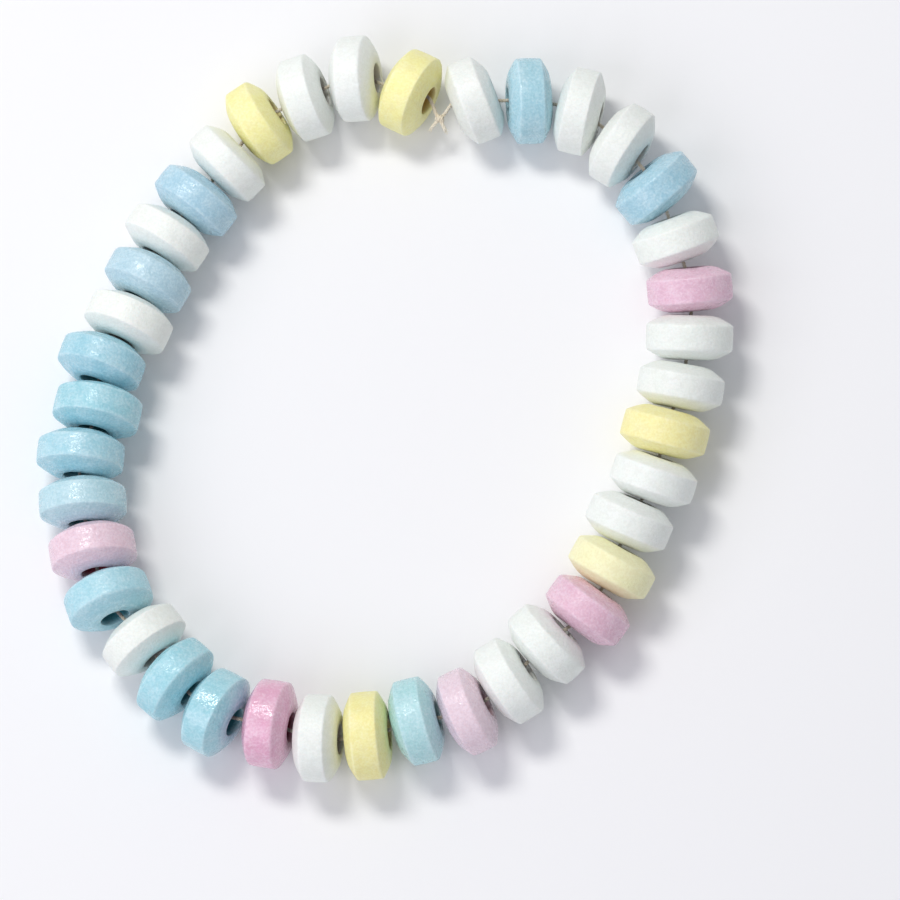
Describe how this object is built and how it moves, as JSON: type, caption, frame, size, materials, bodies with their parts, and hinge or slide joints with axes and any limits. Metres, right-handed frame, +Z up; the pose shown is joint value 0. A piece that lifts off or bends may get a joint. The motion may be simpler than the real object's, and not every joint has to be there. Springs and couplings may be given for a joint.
{
  "type": "candy necklace",
  "caption": "Pressed sugar beads in pastel blue, pink, yellow and white, strung on a knotted elastic thread and lying flat in a closed oval loop",
  "frame": {"origin": "Under the middle of the ring's box, on the surface that the necklace lies on", "axes": "+Z is up, +Y runs from the near side of the ring to the side with the knot, +X is to the right seen from above with the knot at the far side"},
  "size_m": [0.0874, 0.0954, 0.0115],
  "materials": {
    "candy_white": "satin pressed sugar, white with a faintly mottled surface",
    "candy_blue": "satin pressed sugar, pale sky blue with broken white glints",
    "candy_pink": "satin pressed sugar, pale cool pink with broken white glints",
    "candy_yellow": "satin pressed sugar, pale lemon yellow with a faintly mottled surface",
    "elastic_thread": "cream wrapped elastic thread, fine and slightly fuzzy"
  },
  "bodies": {
    "root": {"bead_01": "candy_white", "bead_02": "candy_blue", "bead_03": "candy_white", "bead_04": "candy_white", "bead_05": "candy_blue", "bead_06": "candy_white", "bead_07": "candy_pink", "bead_08": "candy_white", "bead_09": "candy_white", "bead_10": "candy_yellow", "bead_11": "candy_white", "bead_12": "candy_white", "bead_13": "candy_yellow", "bead_14": "candy_pink", "bead_15": "candy_white", "bead_16": "candy_white", "bead_17": "candy_pink", "bead_18": "candy_blue", "bead_19": "candy_yellow", "bead_20": "candy_white", "bead_21": "candy_pink", "bead_22": "candy_blue", "bead_23": "candy_blue", "bead_24": "candy_white", "bead_25": "candy_blue", "bead_26": "candy_pink", "bead_27": "candy_blue", "bead_28": "candy_blue", "bead_29": "candy_blue", "bead_30": "candy_blue", "bead_31": "candy_white", "bead_32": "candy_blue", "bead_33": "candy_white", "bead_34": "candy_blue", "bead_35": "candy_white", "bead_36": "candy_yellow", "bead_37": "candy_white", "bead_38": "candy_white", "bead_39": "candy_yellow", "elastic_thread": "elastic_thread"}
  },
  "joints": []
}
